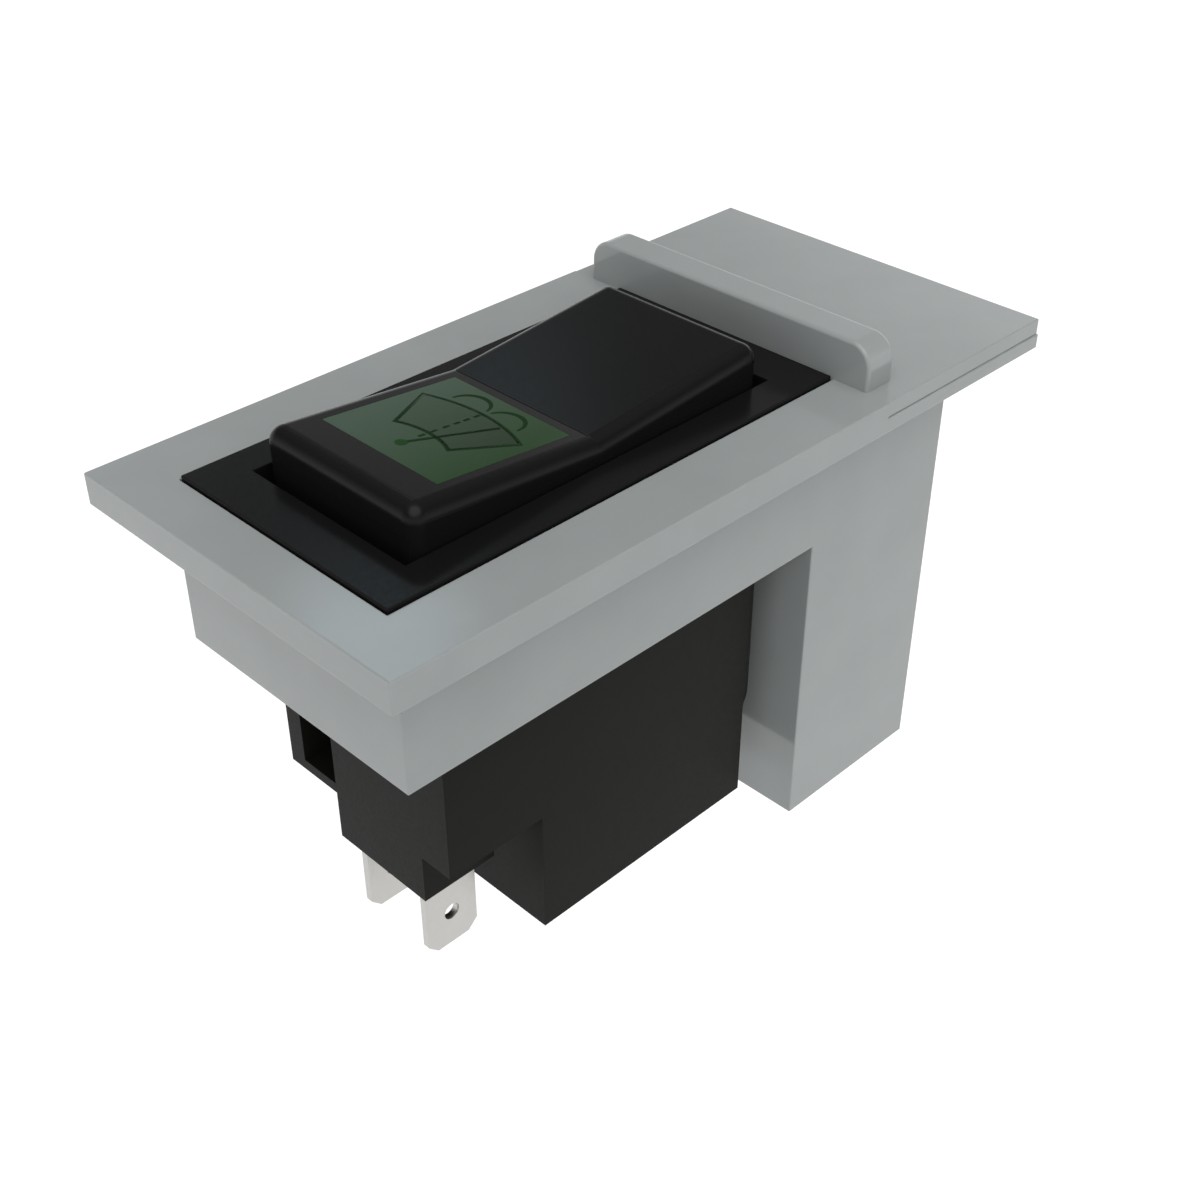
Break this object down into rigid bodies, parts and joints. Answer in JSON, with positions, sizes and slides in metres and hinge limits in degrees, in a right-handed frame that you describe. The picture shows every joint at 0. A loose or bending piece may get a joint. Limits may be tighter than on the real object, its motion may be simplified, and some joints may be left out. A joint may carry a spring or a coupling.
{
  "type": "wiper switch",
  "caption": "Rectangular dashboard rocker switch with a green symbol window, held in a flanged frame with a hollow leg and a rear cover with a finger rib.",
  "frame": {"origin": "centre of the dashboard opening that the frame's skirt fills, on the underside of the flange", "axes": "+X along the flange towards the leg, +Z out of the dashboard towards the user, +Y across the switch, with the lamp tabs at the -X end"},
  "size_m": [0.0785, 0.0388, 0.0533],
  "materials": {
    "grey_plastic": "satin gloss moulded",
    "bezel_black": "fine gloss",
    "rocker_black": "satin gloss",
    "body_black": "satin moulded",
    "green_lens": "translucent green",
    "white_nylon": "natural",
    "lamp_glass": "clear",
    "tinned_brass": "bright tin",
    "contact_silver": "polished silver",
    "contact_bronze": "spring bronze",
    "spring_steel": "drawn wire"
  },
  "bodies": {
    "frame": {"mounting_frame": "grey_plastic", "rear_cover": "grey_plastic", "bezel_housing": "bezel_black", "switch_body": "body_black", "lamp": "lamp_glass", "lamp_terminal_near": "tinned_brass", "lamp_terminal_far": "tinned_brass", "front_terminal_near": "tinned_brass", "front_terminal_far": "tinned_brass", "centre_terminal_near": "tinned_brass", "centre_terminal_far": "tinned_brass", "back_terminal_near": "tinned_brass", "back_terminal_far": "tinned_brass", "fixed_tips": "contact_silver"},
    "rocker": {"rocker": "rocker_black", "rocker_lens": "green_lens", "light_reflector": "white_nylon", "plunger_spring_near": "spring_steel", "plunger_spring_far": "spring_steel"},
    "plunger_near": {"plunger_near": "white_nylon"},
    "plunger_far": {"plunger_far": "white_nylon"},
    "seesaw_near": {"seesaw_near": "contact_bronze", "moving_tips_near": "contact_silver"},
    "seesaw_far": {"seesaw_far": "contact_bronze", "moving_tips_far": "contact_silver"}
  },
  "joints": [
    {"name": "rocker_tilt", "type": "hinge", "parent": "frame", "child": "rocker", "pos_m": [-0.0082, 0, -0.0025], "axis": [0, 1, 0], "range_deg": [-8, 8]},
    {"name": "seesaw_tilt_near", "type": "hinge", "parent": "frame", "child": "seesaw_near", "pos_m": [-0.0082, -0.0052, -0.017], "axis": [0, 1, 0], "range_deg": [-6, 6]},
    {"name": "seesaw_tilt_far", "type": "hinge", "parent": "frame", "child": "seesaw_far", "pos_m": [-0.0082, 0.0052, -0.017], "axis": [0, 1, 0], "range_deg": [-6, 6]},
    {"name": "plunger_slide_near", "type": "slide", "parent": "rocker", "child": "plunger_near", "axis": [0, 0, 1], "range_m": [0, 0.0012], "stiffness_N_per_m": 300, "springref_m": -0.002, "deforming": ["plunger_spring_near"]},
    {"name": "plunger_slide_far", "type": "slide", "parent": "rocker", "child": "plunger_far", "axis": [0, 0, 1], "range_m": [0, 0.0012], "stiffness_N_per_m": 300, "springref_m": -0.002, "deforming": ["plunger_spring_far"]}
  ],
  "couplings": [
    {"joint": "seesaw_tilt_near", "follows": "rocker_tilt", "ratio": -0.75},
    {"joint": "seesaw_tilt_far", "follows": "rocker_tilt", "ratio": -0.75}
  ]
}
